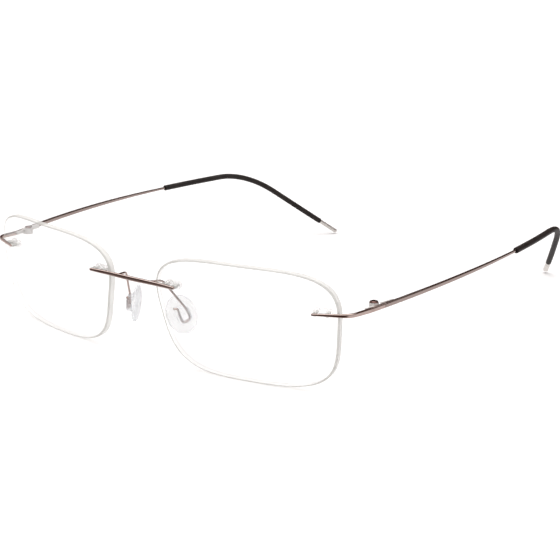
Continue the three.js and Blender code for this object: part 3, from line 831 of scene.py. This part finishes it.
def hinge_leaf_shape():
    """The temple's leaf, whose knuckle turns on the screw between the body's two."""
    inner = LEAF_OUTER - LEAF_DEPTH
    half = KNUCKLE_MID - HINGE_PLAY
    low = (inner, KNUCKLE_CLEARANCE, LEAF_BOTTOM)
    leaf = box(low, (LEAF_OUTER, LEAF_BACK, LEAF_TOP + LEAF_RISE))
    web = box((0, 0, -half), (LEAF_OUTER, KNUCKLE_CLEARANCE + JOIN_GAP, half))
    barrel = cylinder(KNUCKLE_RADIUS, -half, half, 64)
    solids = [leaf, web, barrel]
    return moved(carve(solids, [screw_bore()], bevel=HINGE_ROUNDING), HINGE_PLACE)


def hinge_screw_shape():
    """Slotted screw with a shallow dome on its head, standing on the upper knuckle."""
    seat = KNUCKLE_HALF + HINGE_PLAY
    top = seat + SCREW_HEIGHT
    dome = [
        (SCREW_HEAD * math.cos(a), top - SCREW_DOME + SCREW_DOME * math.sin(a))
        for a in evenly(0, SCREW_LAST_RING, 10)
    ]
    profile = [
        (NEAR_AXIS, -KNUCKLE_HALF),
        (SCREW_RADIUS - SCREW_CHAMFER, -KNUCKLE_HALF),
        (SCREW_RADIUS, SCREW_CHAMFER - KNUCKLE_HALF),
        (SCREW_RADIUS, seat),
        (SCREW_HEAD - HEAD_CHAMFER, seat),
        (SCREW_HEAD, seat + HEAD_CHAMFER),
        *dome,
    ]
    low = (-SLOT_HALF, -SCREW_REACH, top - SLOT_DEPTH)
    slot = box(low, (SLOT_HALF, SCREW_REACH, top + CUT_PAST))
    return moved(carve([lathe(profile, 64)], [slot], bevel=SCREW_ROUNDING), HINGE_PLACE)


def arm_path():
    """From the back of the bridge bar, down over the elbow and round the hook in the pad."""
    inner = on_lens(NASAL_FRAME, -BRIDGE_INNER, BRIDGE_DEPTH)
    root = Vector((ARM_ROOT[0], inner.y + BRIDGE_DEPTH / 2 + JOIN_GAP, ARM_ROOT[1]))
    stub = root + Vector((0, ARM_STUB, 0))
    turns = [(-HOOK_HALF, HOOK_TOP), (-HOOK_HALF, HOOK_BOTTOM), (HOOK_HALF, HOOK_BOTTOM), *HOOK_END]
    hook = [PAD_PLACE @ Vector((-forwards, along, HOOK_HEIGHT)) for forwards, along in turns]
    return bent_path([root, stub, ARM_ELBOW, *hook], ARM_BENDS)


def arm_shape():
    def radius_at(place, length):
        flare = SOLDER_FLARE * max(0, 1 - place / SOLDER_LENGTH) ** 2
        return ARM_RADIUS + flare - inset(length - place, ARM_END_RADIUS)

    return wire(arm_path(), radius_at)


def pad_shape():
    """Oval pebble with a raised boss, and a channel in the boss for the arm's hook."""
    pebble_rings = []
    for angle in evenly(-PAD_LAST_RING, PAD_LAST_RING, 28):
        spread = math.cos(angle) ** PAD_RIM
        outline = ellipse(PAD_HALF.x * spread, PAD_HALF.y * spread, 72)
        pebble_rings.append([Vector((x, y, PAD_HALF.z * math.sin(angle))) for x, y in outline])
    width, height = BOSS_HALF[0] * 2, BOSS_HALF[1] * 2
    boss_rings = []
    shoulder = [BOSS_TOP - BOSS_ROUNDING * (1 - math.sin(a)) for a in evenly(0, math.pi / 2, 6)]
    for z in (0, 1, *shoulder):
        drawn = 2 * inset(BOSS_TOP - z, BOSS_ROUNDING)
        outline = rounded_rectangle(width - drawn, height - drawn, BOSS_CORNER, 8)
        boss_rings.append([Vector((x, y, z)) for x, y in outline])
    solids = [moved(loft(rings), PAD_PLACE) for rings in (pebble_rings, boss_rings)]
    channel = wire(arm_path(), lambda place, length: ARM_CHANNEL, 16, 0.2)
    return carve(solids, [channel])


ARM_POINTS = follow(arm_path())


def pad_zone(point):
    """0 on the outside of a pad, and 1 on the wall of the channel for the wire."""
    length, point_at = ARM_POINTS
    nearest = min((point - point_at(place)).length for place in evenly(length / 2, length, 60))
    return 1 if nearest < ARM_CHANNEL * CHANNEL_SLACK else 0


def build():
    """Makes every piece, on both sides, from the shapes of the wearer's left side."""
    piece("bridge_bar", bridge_shape(), 1, "front", "polished_bar", [POLISHED])
    lens_finishes = [LENS_FACE, LENS_EDGE, LENS_BEVEL_AND_PAINTED_LINE]
    pad_finishes = [SILICONE, SILICONE_CHANNEL]
    shapes = {
        "lens": (lens_shape(), "front", "clear_lens", lens_finishes, lens_zone),
        "endpiece": (endpiece_shape(), "front", "polished_bar", [POLISHED]),
        "hinge_body": (hinge_body_shape(), "front", "hinge_metal", [HINGE_METAL]),
        "hinge_screw": (hinge_screw_shape(), "front", "screw_metal", [SCREW_METAL]),
        "hinge_leaf": (hinge_leaf_shape(), "temple_{}_arm", "hinge_metal", [HINGE_METAL]),
        "temple": (temple_shape(), "temple_{}_arm", "satin_temple", [SATIN, BLADE], behind_rubber),
        "tip_sleeve": (rubber_shape(), "temple_{}_arm", "rubber_sleeve", [RUBBER]),
        "pad_arm": (arm_shape(), "front", "polished_bar", [POLISHED]),
        "nose_pad": (pad_shape(), "pad_{}", "silicone_pad", pad_finishes, pad_zone),
    }
    sleeve = plug_sleeve()
    holders = {"bridge": NASAL_FRAME, "endpiece": TEMPORAL_FRAME}
    for side, sign in SIDES.items():
        for name, (shape, body, slot, materials, *pick) in shapes.items():
            piece(f"{name}_{side}", shape, sign, body.format(side), slot, materials, *pick)
        for holder, place in holders.items():
            name = f"plug_sleeve_{holder}_{side}"
            piece(name, moved(sleeve, place), sign, "front", "clear_sleeve", [PLASTIC])
            for number, x in enumerate(PIN_X, 1):
                name = f"{holder}_pin_{side}_{number}"
                piece(name, moved(pin_shape(x), place), sign, "front", "pin_metal", [PIN_METAL])


# ---- Studio -------------------------------------------------------------------------------


def camera():
    """The camera stands in front of the wearer's left, a little above the glasses."""
    azimuth, elevation, roll = math.radians(38.873), math.radians(16.024), math.radians(-0.3855)
    distance, target = 413.0, Vector((17.124, 38.919, -4.730))
    flat = math.cos(elevation)
    back = Vector((math.sin(azimuth) * flat, -math.cos(azimuth) * flat, math.sin(elevation)))
    right = Vector((math.cos(azimuth), math.sin(azimuth), 0))
    above = back.cross(right)
    rolled_right = right * math.cos(roll) + above * math.sin(roll)
    rolled_above = above * math.cos(roll) - right * math.sin(roll)
    turn = ROW_PLACE.to_quaternion().to_matrix().to_4x4()
    data = bpy.data.cameras.new("camera")
    data.sensor_width, data.lens = 36, 94.82
    data.clip_start, data.clip_end = 0.01, 20
    thing = bpy.data.objects.new("camera", data)
    bpy.context.scene.collection.objects.link(thing)
    facing = turn @ basis(rolled_right, rolled_above, back, Vector())
    thing.matrix_world = Matrix.Translation(ROW_PLACE @ (target + back * distance)) @ facing
    bpy.context.scene.camera = thing


def floor():
    """Pale slab, in metres, with its top just under the glasses. No glossy surface shows it."""
    half, bottom, top = 8, -0.02, -0.0002
    corners = [(-half, -half), (half, -half), (half, half), (-half, half)]
    mesh = new_mesh("floor", plate(corners, bottom, top))
    thing = bpy.data.objects.new("floor", mesh)
    finish = Finish("pale_floor", (0.93, 0.93, 0.93), roughness=0.9, specular=0.1)
    mesh.materials.append(finish.material)
    bpy.context.scene.collection.objects.link(thing)
    thing.visible_glossy = False


def world():
    """Light by direction: white above except behind, and white below except in front. The
    rest is warm and dim, and polished metal shows it as dark streaks."""
    sky = bpy.data.worlds.new("studio")
    sky.use_nodes = True
    nodes, links = sky.node_tree.nodes, sky.node_tree.links
    place = nodes.new("ShaderNodeTexCoord")
    parts = nodes.new("ShaderNodeSeparateXYZ")
    links.new(place.outputs["Generated"], parts.inputs["Vector"])

    def span(axis, start, end, low, high):
        node = nodes.new("ShaderNodeMapRange")
        node.interpolation_type = "SMOOTHSTEP"
        links.new(parts.outputs[axis], node.inputs["Value"])
        ends = {"From Min": start, "From Max": end, "To Min": low, "To Max": high}
        for socket, value in ends.items():
            node.inputs[socket].default_value = value
        return node.outputs["Result"]

    def combine(operation, first, second):
        node = nodes.new("ShaderNodeMath")
        node.operation = operation
        links.new(first, node.inputs[0])
        links.new(second, node.inputs[1])
        return node.outputs["Value"]

    overhead = combine("MULTIPLY", span("Z", 0.35, 0.62, 0, 1.8), span("Y", 0.3, 0.72, 1, 0.02))
    table = combine("MULTIPLY", span("Z", -0.2, 0.0, 1, 0), span("Y", -0.75, -0.35, 0, 0.75))
    white = nodes["Background"]
    white.inputs["Color"].default_value = (1, 1, 1, 1)
    links.new(combine("ADD", overhead, table), white.inputs["Strength"])
    warm = nodes.new("ShaderNodeBackground")
    warm.inputs["Color"].default_value = (1, 0.55, 0.45, 1)
    warm.inputs["Strength"].default_value = 0.07
    total = nodes.new("ShaderNodeAddShader")
    links.new(white.outputs["Background"], total.inputs[0])
    links.new(warm.outputs["Background"], total.inputs[1])
    links.new(total.outputs["Shader"], nodes["World Output"].inputs["Surface"])
    bpy.context.scene.world = sky


def softbox(name, place, size, power):
    """Square light turned to the glasses. No glossy surface shows it."""
    data = bpy.data.lights.new(name, "AREA")
    data.shape, data.size, data.energy = "SQUARE", size, power
    thing = bpy.data.objects.new(name, data)
    bpy.context.scene.collection.objects.link(thing)
    thing.location = place
    thing.rotation_euler = (-Vector(place)).to_track_quat("-Z", "Y").to_euler()
    thing.visible_glossy = False


build()
camera()
floor()
world()
softbox("key", (-0.5, -0.5, 0.9), 0.6, 1.0)
softbox("back", (0.3, 0.9, 0.7), 0.5, 0.6)
bpy.context.scene.view_settings.view_transform = "Standard"
